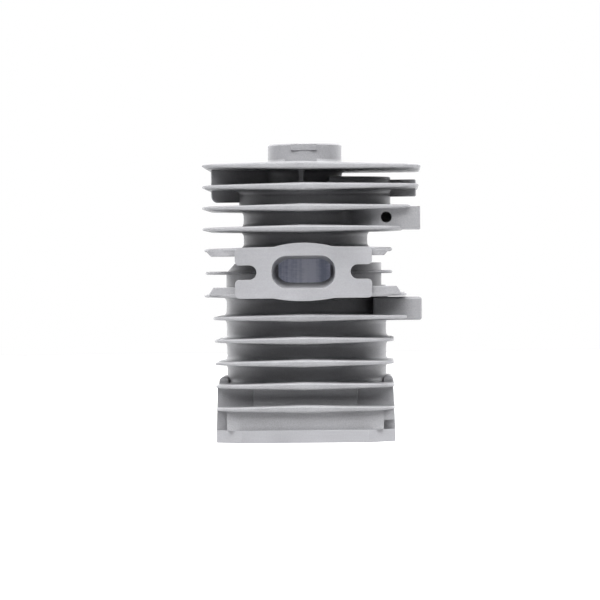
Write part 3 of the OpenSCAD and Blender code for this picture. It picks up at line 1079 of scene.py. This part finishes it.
class CYL_OT_stage(bpy.types.Operator):
    """Set up the pale floor, the soft light and the camera"""

    bl_idname = "cylinder.stage"
    bl_label = "Stage"

    def floor(self, size):
        """A pale floor, which starts a little way in front of the object."""
        front, drop = 0.35, 0.1
        deselect_all()
        bpy.ops.mesh.primitive_plane_add(size=size, location=(0, size / 2 - front, -drop))
        piece = bpy.context.object
        piece.name = "studio_floor"
        tree, shader, coordinates = new_material("pale floor")
        clouds = noise(tree, coordinates, 3, 2)
        colour = blend_colours(tree, clouds, (0.68, 0.68, 0.68), (0.72, 0.72, 0.72))
        tree.links.new(colour, shader.inputs["Base Color"])
        shader.inputs["Roughness"].default_value = 0.9
        piece.data.materials.append(bpy.data.materials["pale floor"])

    def studio(self, stage):
        """White sheets behind the object and above and below the camera, on a dark front.

        The camera itself sees the room as plain white.
        """
        world = bpy.data.worlds.new("studio")
        world.use_nodes = True
        tree = world.node_tree
        background = tree.nodes["Background"]
        direction = tree.nodes.new("ShaderNodeTexCoord")
        split = tree.nodes.new("ShaderNodeSeparateXYZ")
        tree.links.new(direction.outputs["Generated"], split.inputs["Vector"])
        steep = calculate(tree, "ABSOLUTE", split.outputs["Z"])
        off_level = spread(tree, steep, 0.35, 0.55, 0, 1)
        off_zenith = spread(tree, steep, 0.75, 0.95, 1, 0.3)
        towards_camera = spread(tree, split.outputs["Y"], -0.2, 0.2, 1, 0.25)
        behind = spread(tree, split.outputs["Y"], 0.3, 0.7, 0, 0.6)
        sheets = calculate(tree, "MULTIPLY", off_level, off_zenith)
        sheets = calculate(tree, "MULTIPLY", sheets, towards_camera)
        bright = calculate(tree, "MAXIMUM", sheets, behind)
        room = spread(tree, bright, 0, 1, stage.front_level, stage.room_level)
        rays = tree.nodes.new("ShaderNodeLightPath")
        level = tree.nodes.new("ShaderNodeMix")
        level.inputs["B"].default_value = 1.0
        tree.links.new(rays.outputs["Is Camera Ray"], level.inputs["Factor"])
        tree.links.new(room, level.inputs["A"])
        tree.links.new(level.outputs["Result"], background.inputs["Strength"])
        background.inputs["Color"].default_value = (1.0, 1.0, 1.0, 1.0)
        bpy.context.scene.world = world

    def bore_light(self, power):
        """A small square light under the bore, for the plating seen through the port."""
        data = bpy.data.lights.new("bore light", "AREA")
        data.energy = power
        data.size = 0.04
        light = bpy.data.objects.new("bore light", data)
        bpy.context.scene.collection.objects.link(light)
        place, target = Vector((0, 0, -0.07)), Vector((0, 0.005, 0.1))
        light.location = place
        light.rotation_euler = (target - place).to_track_quat("-Z", "Y").to_euler()

    def camera(self, stage):
        """A long lens, level with the flange, turned and rolled by a degree or so."""
        data = bpy.data.cameras.new("studio camera")
        data.sensor_width = 36
        data.lens = stage.lens
        data.clip_start, data.clip_end = 0.05, 20
        camera = bpy.data.objects.new("studio camera", data)
        bpy.context.scene.collection.objects.link(camera)
        turn = Matrix.Rotation(stage.yaw, 4, "Z")
        aim = turn @ Vector((stage.aim_side, 0, 0)) + Vector((0, 0, stage.aim_height))
        forward = turn @ Vector((0, math.cos(stage.pitch), -math.sin(stage.pitch)))
        place = aim - forward * stage.distance / math.cos(stage.pitch)
        look = forward.to_track_quat("-Z", "Y").to_matrix().to_4x4()
        roll = Matrix.Rotation(stage.roll, 4, "Z")
        camera.matrix_world = Matrix.Translation(place) @ look @ roll
        bpy.context.scene.camera = camera

    def execute(self, context):
        stage = context.scene.cylinder_stage
        self.floor(stage.floor_size)
        self.studio(stage)
        context.scene.view_settings.view_transform = "Standard"
        self.bore_light(stage.bore_power)
        self.camera(stage)
        return {"FINISHED"}


PIECE_OPERATORS = (
    CYL_OT_materials, CYL_OT_fins, CYL_OT_barrel, CYL_OT_head, CYL_OT_exhaust, CYL_OT_intake,
    CYL_OT_side_bosses, CYL_OT_base, CYL_OT_stage,
)


class CYL_PT_panel(bpy.types.Panel):
    """The sidebar's list of the cylinder's pieces"""

    bl_label = "Engine Cylinder"
    bl_space_type = "VIEW_3D"
    bl_region_type = "UI"
    bl_category = "Engine Cylinder"

    def draw(self, context):
        for group in (context.scene.cylinder_casting, context.scene.cylinder_finish,
                      context.scene.cylinder_stage):
            box = self.layout.box()
            for name in group.__annotations__:
                box.prop(group, name)
        for operator in PIECE_OPERATORS:
            self.layout.operator(operator.bl_idname)


SETTINGS = {
    "cylinder_casting": CastingSettings,
    "cylinder_finish": FinishSettings,
    "cylinder_stage": StageSettings,
}
CLASSES = (*SETTINGS.values(), *PIECE_OPERATORS, CYL_PT_panel)


def register():
    for item in CLASSES:
        bpy.utils.register_class(item)
    for name, group in SETTINGS.items():
        setattr(bpy.types.Scene, name, PointerProperty(type=group))


def unregister():
    for name in SETTINGS:
        delattr(bpy.types.Scene, name)
    for item in reversed(CLASSES):
        bpy.utils.unregister_class(item)


def main():
    """Builds every piece and the stage."""
    register()
    bpy.ops.cylinder.materials()
    bpy.ops.cylinder.fins()
    bpy.ops.cylinder.barrel()
    bpy.ops.cylinder.head()
    bpy.ops.cylinder.exhaust()
    bpy.ops.cylinder.intake()
    bpy.ops.cylinder.side_bosses()
    bpy.ops.cylinder.base()
    bpy.ops.cylinder.stage()


if __name__ == "__main__":
    main()
